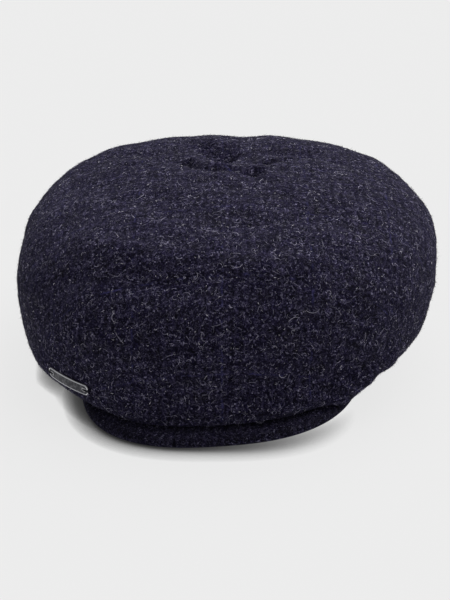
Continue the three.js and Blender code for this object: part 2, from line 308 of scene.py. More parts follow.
def tweed(name, windows, depth):
    # Woollen tweed: felted carded yarn, woven loosely and raised. The eye gets a near-black navy
    # ground, a salt of light grey flecks and curled hairs, and a faint broken blue check. Depth
    # scales how light the cloth looks; below 1 it is painted shade, a darker copy of the cloth for
    # a part that lies in shade.
    c = tweedCloth
    material, tree, shader = newMaterial(name)
    place = addNode(tree, "ShaderNodeTexCoord")
    cloth = addNode(tree, "ShaderNodeUVMap", {"uv_map": "cloth"})
    # wool lies loosely, so every pattern is pushed about a little by a noise
    wobble = addNode(tree, "ShaderNodeTexNoise", {"Scale": perMetre(c["wobble"]), "Detail": 2.0},
                     {"Vector": (place, "Object")})
    centred = addNode(tree, "ShaderNodeVectorMath", {"operation": "SUBTRACT", 1: (0.5, 0.5, 0.5)},
                      {0: (wobble, "Color")})
    swing = (c["swing"] * millimetre,) * 3
    loose = addNode(tree, "ShaderNodeVectorMath", {"operation": "MULTIPLY_ADD", 1: swing},
                    {0: (centred, 0), 2: (place, "Object")})
    looseCloth = addNode(tree, "ShaderNodeVectorMath", {"operation": "MULTIPLY_ADD", 1: swing},
                         {0: (centred, 0), 2: (cloth, "UV")})
    # flecks: each cell of yarn takes one shade at random, and a broader noise gathers them
    specks = addNode(tree, "ShaderNodeTexVoronoi", {"Scale": perMetre(c["speck"])},
                     {"Vector": (loose, 0)})
    shade = addNode(tree, "ShaderNodeSeparateColor", links={0: (specks, "Color")})
    fleck = addNode(tree, "ShaderNodeTexNoise", {"Scale": perMetre(c["fleck"]), "Detail": 3.0,
                    "Roughness": c["fleckRoughness"]}, {"Vector": (loose, 0)})
    gathered = addNode(tree, "ShaderNodeMath", {"operation": "MULTIPLY", 1: c["fleckShare"]},
                       {0: (fleck, "Fac")})
    mixed = addNode(tree, "ShaderNodeMath", {"operation": "MULTIPLY_ADD", 1: c["speckShare"]},
                    {0: (shade, 0), 2: (gathered, 0)})
    ramp = addNode(tree, "ShaderNodeValToRGB", links={0: (mixed, 0)})
    for k, (share, colour) in enumerate(c["stops"]):
        stops = ramp.color_ramp.elements
        stop = stops[k] if k < 2 else stops.new(share)
        stop.position, stop.color = share, linear(c[colour])
    # patches of charcoal where dark wool gathers
    patch = addNode(tree, "ShaderNodeTexNoise", {"Scale": perMetre(c["patch"]), "Detail": 2.0},
                    {"Vector": (place, "Object")})
    low, high = c["patchSeen"]
    patchShare = addNode(tree, "ShaderNodeMapRange", {"From Min": low, "From Max": high,
                         "To Max": c["patchShare"]}, {"Value": (patch, "Fac")})
    ground = addNode(tree, "ShaderNodeMix", {"data_type": "RGBA", 7: linear(c["charcoal"])},
                     {0: (patchShare, 0), 6: (ramp, 0)})
    # curled light hairs: thin contour lines of a noise, broken up by another
    breaks = addNode(tree, "ShaderNodeTexNoise", {"Scale": perMetre(c["loopBreak"]),
                     "Detail": 1.0}, {"Vector": (place, "Object")})
    low, high = c["loopSeen"]
    broken = addNode(tree, "ShaderNodeMapRange", {"From Min": low, "From Max": high},
                     {"Value": (breaks, "Fac")})
    contours = []
    for size, width in c["loops"]:
        loops = addNode(tree, "ShaderNodeTexNoise", {"Scale": perMetre(size), "Detail": 1.5,
                        "Distortion": c["loopTwist"]}, {"Vector": (loose, 0)})
        contours.append(addNode(tree, "ShaderNodeMath", {"operation": "COMPARE", 1: 0.5, 2: width},
                                {0: (loops, "Fac")}))
    either = addNode(tree, "ShaderNodeMath", {"operation": "MAXIMUM"},
                     {0: (contours[0], 0), 1: (contours[1], 0)})
    hairShare = addNode(tree, "ShaderNodeMath", {"operation": "MULTIPLY"},
                        {0: (either, 0), 1: (broken, 0)})
    haired = addNode(tree, "ShaderNodeMix", {"data_type": "RGBA", 7: linear(c["grey"])},
                     {0: (hairShare, 0), 6: (ground, 2)})
    # the felt's fine grain, the ribs down the cloth and the cells across it change its brightness
    felt = addNode(tree, "ShaderNodeTexNoise", {"Scale": perMetre(c["felt"]), "Detail": 2.0},
                   {"Vector": (place, "Object")})
    (low, high), (dark, light) = c["feltSeen"], c["feltLevel"]
    grain = addNode(tree, "ShaderNodeMapRange", {"From Min": low, "From Max": high,
                    "To Min": dark, "To Max": light}, {"Value": (felt, "Fac")})
    parts = addNode(tree, "ShaderNodeSeparateXYZ", links={0: (looseCloth, 0)})
    waves = []
    for axis, size in ((0, c["rib"]), (1, c["cell"])):
        turns = addNode(tree, "ShaderNodeMath", {"operation": "MULTIPLY",
                        1: 2 * math.pi * perMetre(size)}, {0: (parts, axis)})
        waves.append(addNode(tree, "ShaderNodeMath", {"operation": "SINE"}, {0: (turns, 0)}))
    summed = addNode(tree, "ShaderNodeMath", {"operation": "ADD"},
                     {0: (waves[0], 0), 1: (waves[1], 0)})
    # depth under 1 darkens the whole cloth: painted shade
    weave = addNode(tree, "ShaderNodeMath", {"operation": "MULTIPLY_ADD", 1: c["weave"], 2: depth},
                    {0: (summed, 0)})
    level = addNode(tree, "ShaderNodeMath", {"operation": "MULTIPLY"},
                    {0: (weave, 0), 1: (grain, 0)})
    woven = addNode(tree, "ShaderNodeVectorMath", {"operation": "SCALE"},
                    {0: (haired, 2), "Scale": (level, 0)})
    colour = (woven, 0)
    if windows:
        # windowpane check: one blue yarn each way, seen only here and there
        lines = []
        for axis, (spacing, offset) in enumerate(windows):
            across = addNode(tree, "ShaderNodeMath", {"operation": "SUBTRACT",
                             1: offset * millimetre}, {0: (parts, axis)})
            near = addNode(tree, "ShaderNodeMath", {"operation": "PINGPONG",
                           1: spacing * millimetre / 2}, {0: (across, 0)})
            lines.append(addNode(tree, "ShaderNodeMapRange",
                                 {"From Max": c["windowLine"] * millimetre, "To Min": 1.0,
                                  "To Max": 0.0}, {"Value": (near, 0)}))
        crossing = addNode(tree, "ShaderNodeMath", {"operation": "MAXIMUM"},
                           {0: (lines[0], 0), 1: (lines[1], 0)})
        dashes = addNode(tree, "ShaderNodeTexNoise", {"Scale": perMetre(c["windowBreak"]),
                         "Detail": 3.0, "Roughness": c["fleckRoughness"]}, {"Vector": (loose, 0)})
        low, high = c["windowSeen"]
        seen = addNode(tree, "ShaderNodeMapRange", {"From Min": low, "From Max": high,
                       "To Max": c["windowShare"]}, {"Value": (dashes, "Fac")})
        share = addNode(tree, "ShaderNodeMath", {"operation": "MULTIPLY"},
                        {0: (crossing, 0), 1: (seen, 0)})
        checked = addNode(tree, "ShaderNodeMix", {"data_type": "RGBA", 7: linear(c["blue"])},
                          {0: (share, 0), 6: (woven, 0)})
        colour = (checked, 2)
    tree.links.new(colour[0].outputs[colour[1]], shader.inputs["Base Color"])
    # relief: soft lumps where the wool felted unevenly, then yarn, curled hairs and fine felt
    lump = addNode(tree, "ShaderNodeTexNoise", {"Scale": perMetre(c["lump"]), "Detail": 1.0},
                   {"Vector": (place, "Object")})
    lumps = addNode(tree, "ShaderNodeBump", {"Strength": 1.0,
                    "Distance": c["lumpHeight"] * millimetre}, {"Height": (lump, "Fac")})
    yarn = addNode(tree, "ShaderNodeMath", {"operation": "MULTIPLY_ADD", 1: c["yarnDip"]},
                   {0: (specks, "Distance"), 2: (felt, "Fac")})
    height = addNode(tree, "ShaderNodeMath", {"operation": "MULTIPLY_ADD", 1: c["loopRise"]},
                     {0: (hairShare, 0), 2: (yarn, 0)})
    bump = addNode(tree, "ShaderNodeBump", {"Strength": c["yarnStrength"],
                   "Distance": c["yarnHeight"] * millimetre},
                   {"Height": (height, 0), "Normal": (lumps, 0)})
    tree.links.new(bump.outputs[0], shader.inputs["Normal"])
    shader.inputs["Roughness"].default_value = c["roughness"]
    shader.inputs["Specular IOR Level"].default_value = c["shine"]
    shader.inputs["Sheen Weight"].default_value = c["sheen"]
    shader.inputs["Sheen Roughness"].default_value = c["sheenRoughness"]
    shader.inputs["Sheen Tint"].default_value = linear(c["sheenTint"])
    return material


woolFibre = {"roughness": 0.6, "shine": 0.15}


def woolHair(name, low, high):
    # Single wool hairs that stand out of the felt. The eye gets strands of many shades, since each
    # hair took the dye differently; the piece's own attribute shade gives each hair its place.
    material, tree, shader = newMaterial(name)
    shade = addNode(tree, "ShaderNodeAttribute", {"attribute_name": "shade"})
    colour = addNode(tree, "ShaderNodeMix", {"data_type": "RGBA", 6: linear(low), 7: linear(high)},
                     {0: (shade, "Fac")})
    tree.links.new(colour.outputs[2], shader.inputs["Base Color"])
    shader.inputs["Roughness"].default_value = woolFibre["roughness"]
    shader.inputs["Specular IOR Level"].default_value = woolFibre["shine"]
    return material


# stain and grit are sizes in millimetres, roughness goes from the stained to the rubbed metal
pewter = {
    "stained": "#35353a", "rubbed": "#cfcfd4", "stain": 1.6, "stainShare": 0.5,
    "stainStart": -0.22, "roughness": (0.5, 0.28), "grit": 0.35, "gritHeight": 0.1,
    "gritStrength": 0.25,
}


def pewterMetal(name):
    # Die-cast pewter, tumbled and darkened: a soft grey shine, brighter where the rim is rubbed
    c = pewter
    material, tree, shader = newMaterial(name)
    place = addNode(tree, "ShaderNodeTexCoord")
    rubbed = addNode(tree, "ShaderNodeAttribute", {"attribute_name": "rubbed"})
    stain = addNode(tree, "ShaderNodeTexNoise", {"Scale": perMetre(c["stain"]), "Detail": 4.0},
                    {"Vector": (place, "Object")})
    share = addNode(tree, "ShaderNodeMath", {"operation": "MULTIPLY_ADD", 1: c["stainShare"],
                    2: c["stainStart"], "use_clamp": True}, {0: (stain, "Fac")})
    worn = addNode(tree, "ShaderNodeMath", {"operation": "ADD", "use_clamp": True},
                   {0: (share, 0), 1: (rubbed, "Fac")})
    colour = addNode(tree, "ShaderNodeMix", {"data_type": "RGBA", 6: linear(c["stained"]),
                     7: linear(c["rubbed"])}, {0: (worn, 0)})
    rough = addNode(tree, "ShaderNodeMapRange", {"To Min": c["roughness"][0],
                    "To Max": c["roughness"][1]}, {"Value": (worn, 0)})
    grit = addNode(tree, "ShaderNodeTexNoise", {"Scale": perMetre(c["grit"]), "Detail": 3.0},
                   {"Vector": (place, "Object")})
    bump = addNode(tree, "ShaderNodeBump", {"Strength": c["gritStrength"],
                   "Distance": c["gritHeight"] * millimetre}, {"Height": (grit, "Fac")})
    tree.links.new(colour.outputs[2], shader.inputs["Base Color"])
    tree.links.new(rough.outputs[0], shader.inputs["Roughness"])
    tree.links.new(bump.outputs[0], shader.inputs["Normal"])
    shader.inputs["Metallic"].default_value = 1.0
    return material


crownTweed = tweed("woollenTweed", windows=[(51.5, -1.7), (59, 0.0)], depth=1.0)
# the peak's copy is darkened to 0.75: painted shade, for the peak lying under the crown's overhang
peakTweed = tweed("woollenTweedOverBoardPaintedShade", windows=[], depth=0.75)
print("materials made")

crownCloth = {
    "columns": 400, "rows": 174, "innerStep": 3, "hemShares": (0.66, 0.33, 0.0),
    "measuredRows": 900, "measuredEvery": 30,
    "bead": 0.9, "beadLength": 2.2, "stillAtHem": 8,
    "waves": [(58, 0.5), (36, 0.34), (21, 0.24), (12, 0.16), (7, 0.1)],  # length, height
    "wavesEach": 4,
    "flatByPlate": (0.3, 0.8),  # waves start and are full this many plate lengths from its middle
    "sideFrom": 0.65, "endFrom": 0.35, "endUntil": 0.85,  # where the cloth turns down each way
    # soft folds: the points of a line in space, its width and how far the cloth stands out there
    "creases": [
        ([(-95, 4, 107), (-74, -14, 114)], 11, -2.2),
        ([(-13, 60, 114), (-6, 50, 114), (1, 45, 114)], 8.5, -6.8),
        ([(-22, 34, 113), (-14, 13, 117), (-5, 3, 121), (4, 4, 121), (10, 9, 119)], 4.2, 4.2),
        ([(-25, 25, 115), (-16, 2, 120), (-7, -7, 121), (2, -6, 121), (8, 0, 121)], 3.8, -5.6),
        ([(9, -10, 121), (18, -14, 121)], 3.6, -5.0),
        ([(13, -2, 121), (22, -6, 121)], 4, 2.6),
        ([(14, 6, 120), (24, 20, 116), (30, 25, 116), (42, 31, 116)], 4.2, -3.4),
        ([(20, 21, 116), (29, 33, 115), (43, 40, 116)], 4.5, 1.8),
        ([(20, -6, 121), (34, 10, 119), (52, 22, 118)], 6, 1.2),
        ([(-62, 12, 117), (-36, 24, 116), (-25, 27, 116)], 5, -1.3),
        ([(38, 44, 117), (72, 28, 119)], 9, -2.4),
        ([(-58, -40, 115), (-33, -59, 117), (-9, -77, 114), (15, -79, 114), (62, -62, 113)],
         13, -2.2),
        ([(-88, -66, 100), (-70, -81, 101), (-43, -94, 103), (-20, -100, 103), (9, -107, 100),
          (37, -105, 99), (56, -98, 99)], 8, 2.2),
        ([(-97, -87, 80), (-82, -93, 89), (-66, -103, 88), (-43, -111, 90), (-21, -114, 90)],
         8, -2.2),
        ([(-5, -119, 86), (14, -121, 86), (37, -119, 84)], 10, -0.9),
        ([(83, -107, 26), (76, -112, 24), (70, -115, 23)], 8, 5.0),
        ([(98, -92, 33), (89, -102, 29)], 8, 2.0),
        ([(-78, -114.5, 24), (-77, -114.5, 17)], 5.0, 0.9),
        ([(-78, -114.5, 24), (-77, -114.5, 17)], 2.4, -1.6),
    ],
    # the lower front flares over the peak: distance up from the hem, width, how far it stands out
    "flares": [(7, 8, 2.8), (27, 12, -2.2)], "flareDirection": 18, "flareSpread": 40,
}


def evenStations(first, last, count):
    # stations whose mean distance along the cloth is even, from a dense set
    dense = np.linspace(first, last, crownCloth["measuredRows"])
    around = np.arange(0, 360, float(crownCloth["measuredEvery"]))
    points = crownPoint(around[None, :], dense[:, None])
    steps = np.linalg.norm(np.diff(points, axis=0), axis=-1).mean(1)
    length = np.concatenate([[0], np.cumsum(steps)])
    return np.interp(np.linspace(0, length[-1], count), length, dense)


def clothWaves(points):
    # sum of sine waves with seeded directions and phases, flat round the metal plate
    height = np.zeros(points.shape[:-1])
    for length, size in crownCloth["waves"]:
        for each in range(crownCloth["wavesEach"]):
            axis = random.normal(size=3)
            axis *= 2 * math.pi / (length * np.linalg.norm(axis))
            wave = np.sin(points @ axis + random.uniform(0, 2 * math.pi))
            height += size / math.sqrt(crownCloth["wavesEach"]) * wave
    middle = crownPoint(plate["direction"], plate["station"])
    near = np.linalg.norm(points - middle, axis=-1) / plate["length"]
    start, full = crownCloth["flatByPlate"]
    return height * smoothStep((near - start) / (full - start))


def creaseLift(points):
    # sum of lift times e^-(distance from the crease's line over its width)²
    lift = np.zeros(points.shape[:-1])
    for line, width, stands in crownCloth["creases"]:
        away = np.full(lift.shape, np.inf)
        for start, end in zip(line[:-1], line[1:]):
            along = np.subtract(end, start)
            t = np.clip((points - start) @ along / (along @ along), 0, 1)
            away = np.minimum(away, np.linalg.norm(points - start - t[..., None] * along, axis=-1))
        lift += stands * np.exp(-(away / width) ** 2)
    return lift


def crownSurface():
    # rows from the middle of the top down the outside to the hem's inner line, then back up inside
    c = crownCloth
    direction = np.arange(c["columns"]) * 360.0 / c["columns"]
    station = evenStations(1, -1, c["rows"])
    outside = crownPoint(direction[None, :], station[:, None])
    inside = crownPoint(direction[None, :], station[:, None], crown["cloth"])
    inner, outer = hemReach(direction), hemReach(direction) + crown["hem"]
    hemRows = [inner + (outer - inner) * share for share in c["hemShares"]]
    hemUnder = [inPlan(direction, reach, hemHeight(direction, reach)) for reach in hemRows]
    hemOver = [inPlan(direction, reach, hemHeight(direction, reach) + crown["cloth"])
               for reach in hemRows[::-1]]
    # the cloth's own coordinates: plan place, pushed out by what the arc is longer than the reach
    full = np.concatenate([outside, hemUnder], 0)
    steps = np.linalg.norm(np.diff(full, axis=0), axis=-1)
    length = np.cumsum(np.concatenate([np.zeros((1, c["columns"])), steps]), 0)
    spare = length - np.hypot(full[..., 0], full[..., 1])
    sine, cosine = np.sin(np.radians(direction)), np.cos(np.radians(direction))
    sideways = np.sign(sine) * smoothStep((np.abs(sine) - c["sideFrom"]) / (1 - c["sideFrom"]))
    turning = (np.abs(cosine) - c["endFrom"]) / (c["endUntil"] - c["endFrom"])
    lengthways = np.sign(cosine) * smoothStep(turning)
    flat = np.stack([full[..., 0] + spare * sideways, full[..., 1] - spare * lengthways], -1)
    # folds along the normals, a bead where the cloth turns over at the hem, and nothing below the
    # floor
    normals = gridNormals(outside, True)
    normals *= np.sign((normals * outside * [1, 1, 0]).sum())
    normals[0] = normals[1].mean(0) / np.linalg.norm(normals[1].mean(0))
    fromFoot = length[c["rows"] - 1] - length[:c["rows"]]
    ahead = (fromFront(direction) - c["flareDirection"]) / c["flareSpread"]
    lift = clothWaves(outside) + creaseLift(outside)
    for place, width, stands in c["flares"]:
        lift += stands * np.exp(-((fromFoot - place) / width) ** 2 - ahead ** 2)
    lift *= smoothStep(fromFoot / c["stillAtHem"])
    lift[0] = lift[0].mean()
    lift = lift[..., None] * normals
    bead = c["bead"] * np.exp(-((fromFoot - c["beadLength"]) / c["beadLength"]) ** 2)
    moved = outside + lift + inPlan(direction, np.ones(c["columns"]), 0)[None] * bead[..., None]
    moved[..., 2] = np.maximum(moved[..., 2], 0)
    back = np.unique(np.append(np.arange(0, c["rows"], c["innerStep"]), c["rows"] - 1))[::-1]
    rings = np.concatenate([moved, hemUnder, hemOver, (inside + lift)[back]], 0)
    ringFlat = np.concatenate([flat, flat[c["rows"]:][::-1], flat[back]], 0)
    return rings, ringFlat, moved, normals


rings, ringFlat, crownOutside, crownNormals = crownSurface()
columns, ringCount = crownCloth["columns"], len(rings)
vertices = np.concatenate([rings[0].mean(0)[None], rings[1:-1].reshape(-1, 3),
                           rings[-1].mean(0)[None]])
flat = np.concatenate([ringFlat[0].mean(0)[None], ringFlat[1:-1].reshape(-1, 2),
                       ringFlat[-1].mean(0)[None]])
faces = [bandFaces(ringCount - 2, columns, first=1), poleFaces(0, 1, columns, False),
         poleFaces(len(vertices) - 1, 1 + (ringCount - 3) * columns, columns, True)]
crownPiece = addMesh("crown_cloth", vertices, faces, flat)
finishPiece(crownPiece, crownTweed, ["crown"])
print("crown made", len(vertices), "points")

peakCloth = {"columns": 300, "edgeRows": 14, "topRows": 24}


def peakSurface(sign):
    # rows in from the rounded edge to the head opening, along the top (sign 1) or underside (-1)
    c = peakCloth
    direction = np.linspace(-peak["hornEnd"], peak["hornEnd"], c["columns"])
    outer, atHead = peakReach(direction), headReach(direction)
    edgeRound = np.minimum(peak["edgeRound"], peak["edgeRoundShare"] * (outer - atHead))
    turn = np.radians(np.linspace(0, 90, c["edgeRows"]))[:, None]
    share = np.linspace(0, 1, c["topRows"])[1:, None]
    reach = np.concatenate([outer - edgeRound * (1 - np.cos(turn)),
                            (outer - edgeRound) * (1 - share) + atHead * share])
    half = peak["thickness"] / 2 * np.concatenate([np.sin(turn), np.ones(share.shape)])
    height = peakUnderside(direction, reach) + peak["thickness"] / 2 + sign * half
    return inPlan(direction, reach, height)


peakTop, peakUnder = peakSurface(1), peakSurface(-1)
peakLoop = np.concatenate([peakTop, peakUnder[::-1][:-1]], 0)
loopCount, peakColumns = len(peakLoop), peakCloth["columns"]
# the cloth's own coordinates: distance along the outer edge and distance round the section
edgeSteps = np.linalg.norm(np.diff(peakLoop[0], axis=0), axis=-1)
edgeLength = np.concatenate([[0], np.cumsum(edgeSteps)])
sectionSteps = np.linalg.norm(np.diff(peakLoop, axis=0), axis=-1)
sectionLength = np.concatenate([np.zeros((1, peakColumns)), np.cumsum(sectionSteps, 0)])
peakFlat = np.stack([np.broadcast_to(edgeLength, sectionLength.shape), -sectionLength], -1)
ends = [peakLoop[:, 0].mean(0)[None], peakLoop[:, -1].mean(0)[None]]
flatEnds = [peakFlat[:, 0].mean(0)[None], peakFlat[:, -1].mean(0)[None]]
row, column = np.arange(loopCount), np.arange(peakColumns - 1)
first, second = row * peakColumns, (row + 1) % loopCount * peakColumns
a, b = first[:, None] + column, second[:, None] + column
faces = [np.stack([a, a + 1, b + 1, b], -1).reshape(-1, 4),
         np.stack([np.full(loopCount, loopCount * peakColumns), first, second], -1),
         np.stack([np.full(loopCount, loopCount * peakColumns + 1), second + peakColumns - 1,
                   first + peakColumns - 1], -1)]
peakPiece = addMesh("peak_cloth", np.concatenate([peakLoop.reshape(-1, 3), *ends]), faces,
                    np.concatenate([peakFlat.reshape(-1, 2), *flatEnds]))
finishPiece(peakPiece, peakTweed, ["peak"])
print("peak made", loopCount * peakColumns, "points")


plateFit = {"step": 0.01, "rounds": 8, "stationLimit": 0.95}


def crownSlopes(direction, station):
    # slopes by small steps each way, and the unit vector square to both that points out
    step = plateFit["step"]
    around = crownPoint(direction + step, station) - crownPoint(direction - step, station)
    upward = crownPoint(direction, station + step) - crownPoint(direction, station - step)
    around, upward = around / (2 * step), upward / (2 * step)
    outward = np.cross(around, upward)
    return around, upward, outward / np.linalg.norm(outward, axis=-1, keepdims=True)


def nearestOnCrown(targets):
    # least squares in the two slopes, repeated until the place settles
    direction = np.full(targets.shape[:-1], float(plate["direction"]))
    station = np.full(targets.shape[:-1], float(plate["station"]))
    limit = plateFit["stationLimit"]
    for turn in range(plateFit["rounds"]):
        around, upward, outward = crownSlopes(direction, station)
        left = targets - crownPoint(direction, station)
        rr, ru, uu = (around ** 2).sum(-1), (around * upward).sum(-1), (upward ** 2).sum(-1)
        lr, lu = (left * around).sum(-1), (left * upward).sum(-1)
        area = rr * uu - ru * ru
        direction = direction + (lr * uu - lu * ru) / area
        station = np.clip(station + (lu * rr - lr * ru) / area, -limit, limit)
    return crownPoint(direction, station), crownSlopes(direction, station)[2]


def onPlatePlane(along, across):
    # a place in the flat plate's own two directions, brought onto the crown
    middle = crownPoint(plate["direction"], plate["station"])
    direction, station = np.array([plate["direction"], plate["station"]], float)
    around, upward, outward = crownSlopes(direction, station)
    first = around / np.linalg.norm(around)
    turn = math.radians(plate["slant"])
    first = first * math.cos(turn) + np.cross(outward, first) * math.sin(turn)
    second = np.cross(outward, first)
    return nearestOnCrown(middle + along[..., None] * first + across[..., None] * second)


# the raised rim's width, height and rounding, the smaller rim round each slot, and the mesh's rows
plateRim = {
    "along": 110, "across": 22, "cornerSteps": 12, "blunt": 0.97,
    "width": 0.75, "height": 0.32, "round": 0.3, "slotRim": 0.55, "slotShare": 0.6,
    "slotSpare": 0.2, "soft": 0.35, "sharpAbove": 50,
}


def plateSurface():
    # a grid of a round-cornered bar; height is the full thickness on the rim, less in the middle
    p, r = plate, plateRim
    half, halfWidth, corner = p["length"] / 2, p["width"] / 2, p["cornerRound"]
    slotOuter = half - p["slotInset"]
    slotInner = slotOuter - p["slotLength"]
    slotShare = p["slotWidth"] / p["width"]
    ends = half - corner + corner * np.sin(np.linspace(0, math.pi / 2, r["cornerSteps"]))
    straight = np.linspace(0, half - corner, r["along"] // 2)
    right = np.concatenate([straight, ends, [slotInner, slotOuter]])
    right = np.unique(right.round(4))
    along = np.concatenate([-right[::-1], right[1:]])
    share = np.concatenate([np.linspace(-1, 1, r["across"] + 1), [-slotShare, slotShare]])
    share = np.unique(share.round(4))
    into = np.clip((np.abs(along) - half + corner) / corner, 0, 1) * r["blunt"]
    width = halfWidth - corner * (1 - np.sqrt(1 - into ** 2))
    across = share[:, None] * width
    inSlot = ((np.abs(share) <= slotShare + 1e-6)[:, None]
              & (np.abs(along) <= slotOuter + r["slotSpare"]))
    across = np.where(inSlot, share[:, None] * halfWidth, across)
    alongGrid = np.broadcast_to(along, across.shape)
    # distance in from the round-cornered outline, and distance from the nearest slot
    pastEnd, pastSide = np.abs(alongGrid) - half + corner, np.abs(across) - halfWidth + corner
    beyond = np.hypot(np.maximum(pastEnd, 0), np.maximum(pastSide, 0))
    toEdge = corner - beyond - np.minimum(np.maximum(pastEnd, pastSide), 0)
    slotMiddle = (slotInner + slotOuter) / 2
    toSlot = np.hypot(np.maximum(np.abs(np.abs(alongGrid) - slotMiddle) - p["slotLength"] / 2, 0),
                      np.maximum(np.abs(across) - p["slotWidth"] / 2, 0))
    rim = np.maximum(smoothStep((r["width"] - toEdge) / r["soft"]),
                     r["slotShare"] * smoothStep((r["slotRim"] - toSlot) / r["soft"]))
    rounded = np.sqrt(1 - np.clip(1 - toEdge / r["round"], 0, 1) ** 2)
    top = p["gap"] + p["thickness"] - r["height"] * (1 - rim) - r["round"] * (1 - rounded)
    base, outward = onPlatePlane(alongGrid, across)
    cellAlong = (np.abs(along[1:]) + np.abs(along[:-1])) / 2
    cellShare = np.abs(share[1:] + share[:-1]) / 2
    hole = (cellShare < slotShare)[:, None] & (cellAlong > slotInner) & (cellAlong < slotOuter)
    return base + outward * top[..., None], base + outward * p["gap"], ~hole, rim


def plateFaces(keep):
    # top and bottom quads for every kept cell, and a wall where a kept cell has no kept neighbour
    rows, cells = keep.shape
    number = np.arange((rows + 1) * (cells + 1)).reshape(rows + 1, cells + 1)
    a, b, c, d = number[:-1, :-1], number[:-1, 1:], number[1:, 1:], number[1:, :-1]
    under = number.size
    quads = [np.stack([a, b, c, d], -1)[keep], np.stack([d, c, b, a], -1)[keep] + under]
    wide = np.pad(keep, 1)
    sides = [(a, b, wide[:-2, 1:-1]), (b, c, wide[1:-1, 2:]),
             (c, d, wide[2:, 1:-1]), (d, a, wide[1:-1, :-2])]
    for first, second, neighbour in sides:
        wall = np.stack([second, first, first + under, second + under], -1)
        quads.append(wall[keep & ~neighbour])
    return np.concatenate(quads)


upper, lower, keep, rim = plateSurface()
plateVertices = np.concatenate([upper.reshape(-1, 3), lower.reshape(-1, 3)])
quads = plateFaces(keep)
used = np.unique(quads)
renumber = np.zeros(len(plateVertices), int)
renumber[used] = np.arange(len(used))
quads = renumber[quads]
corner = plateVertices[used][quads]
volume = (np.cross(corner[:, 1] - corner[:, 0], corner[:, 2] - corner[:, 0]) * corner[:, 0]).sum()
if volume < 0:
    quads = quads[:, ::-1]
platePiece = addMesh("metal_plate", plateVertices[used], [quads])
platePiece.data.set_sharp_from_angle(angle=math.radians(plateRim["sharpAbove"]))
rubbed = platePiece.data.attributes.new("rubbed", "FLOAT", "POINT")
wear = np.concatenate([rim.ravel(), 0 * rim.ravel()])[used]
rubbed.data.foreach_set("value", wear.astype(np.float32))
finishPiece(platePiece, pewterMetal("tumbledPewter"), ["badge_plate"])

plateThread = {
    "places": [-0.42, 0.0, 0.42], "radius": 0.2, "sides": 6, "steps": 11, "inside": 0.45,
    "past": 1.1, "spread": 0.25, "over": 0.35, "arch": 0.6, "sunk": 0.1,
    "shift": (0.01, 0.02, 0.03), "colours": ("#15141f", "#2c2a3c"),
}


def tubes(paths, radius, sides):
    # rings square to each path, joined along it, with a fan at both ends; the small shift keeps a
    # straight path from having no side of its own
    count, steps = paths.shape[:2]
    tangent = np.gradient(paths, axis=1)
    tangent /= np.linalg.norm(tangent, axis=-1, keepdims=True)
    across = np.cross(tangent, paths[:, -1:] - paths[:, :1] + plateThread["shift"])
    across /= np.maximum(np.linalg.norm(across, axis=-1, keepdims=True), 1e-9)
    across[(across * across[:, :1]).sum(-1) < 0] *= -1
    up = np.cross(tangent, across)
    turn = np.arange(sides) * 2 * math.pi / sides
    circle = across[:, :, None] * np.cos(turn)[:, None] + up[:, :, None] * np.sin(turn)[:, None]
    rings = paths[:, :, None] + radius * circle
    vertices, faces = [], []
    for k in range(count):
        first = sum(len(v) for v in vertices)
        vertices.append(np.concatenate([rings[k].reshape(-1, 3), paths[k, :1], paths[k, -1:]]))
        faces.append(bandFaces(steps, sides, first)[:, ::-1])
        faces.append(poleFaces(first + steps * sides, first, sides, True))
        last = first + (steps - 1) * sides
        faces.append(poleFaces(first + steps * sides + 1, last, sides, False))
    return np.concatenate(vertices), faces


def threadPaths():
    # arcs from inside each slot, over the bar at the plate's end, down to the cloth
    c = plateThread
    t = np.linspace(0, 1, c["steps"])
    half = plate["length"] / 2
    start, end = half - plate["slotInset"] - c["inside"], half + c["past"]
    along = start + (end - start) * (1 - np.cos(math.pi * t)) / 2
    top = plate["gap"] + plate["thickness"] + c["over"]
    height = top * np.sin(math.pi * t) ** c["arch"] - c["sunk"]
    paths = []
    for side in (-1, 1):
        for place in c["places"]:
            across = place * (1 + c["spread"] * np.sin(math.pi * t))
            base, outward = onPlatePlane(side * along, across)
            paths.append(base + outward * height[:, None])
    return np.array(paths)


stitches = tubes(threadPaths(), plateThread["radius"], plateThread["sides"])
threadPiece = addMesh("plate_thread", *stitches)
threadPiece.data.attributes.new("shade", "FLOAT", "POINT")
finishPiece(threadPiece, woolHair("sewingThread", *plateThread["colours"]))
print("plate made", len(used), "points")

# for each kind: length and width in millimetres, curl in radians, lie is how high it arches, stand
# how high its end rises, and uneven gathers the shades at the dark end
hairs = {
    "crown_hairs_pale": {"count": 17000, "segments": 4, "length": (1.5, 4.8), "width": (0.12, 0.3),
                         "curl": 2.6, "lie": 0.18, "stand": 0.35, "uneven": 3.0,
                         "colours": ("#1a172d", "#a09cb3")},
    "crown_hairs_navy": {"count": 34000, "segments": 2, "length": (1.0, 3.0), "width": (0.06, 0.14),
                         "curl": 1.2, "lie": 0.1, "stand": 0.8, "uneven": 1.5,
                         "colours": ("#07060f", "#1d1a36")},
    "crown_kemps": {"count": 5600, "segments": 2, "length": (0.4, 1.7), "width": (0.2, 0.36),
                    "curl": 0.8, "lie": 0.28, "stand": 0.25, "uneven": 2.2,
                    "colours": ("#3a374b", "#cfccd8")},
    "crown_stray_hairs": {"count": 200, "segments": 9, "length": (4, 10), "width": (0.14, 0.26),
                          "curl": 2.8, "lie": 0.35, "stand": 0.5, "uneven": 1.4,
                          "colours": ("#4b485c", "#b5b2c4")},
    "peak_hairs": {"count": 9000, "segments": 3, "length": (0.8, 3.0), "width": (0.06, 0.18),
                   "curl": 1.8, "lie": 0.1, "stand": 0.3, "uneven": 2.4,
                   "colours": ("#09080f", "#4f4c66")},
}
# all hairs: how far the root is sunk, where its arch starts, how late it rises and how it thins
hairForm = {"sunk": 0.03, "archStart": 0.15, "riseLate": 1.5, "thins": 0.75, "clearOfFloor": 0.4}


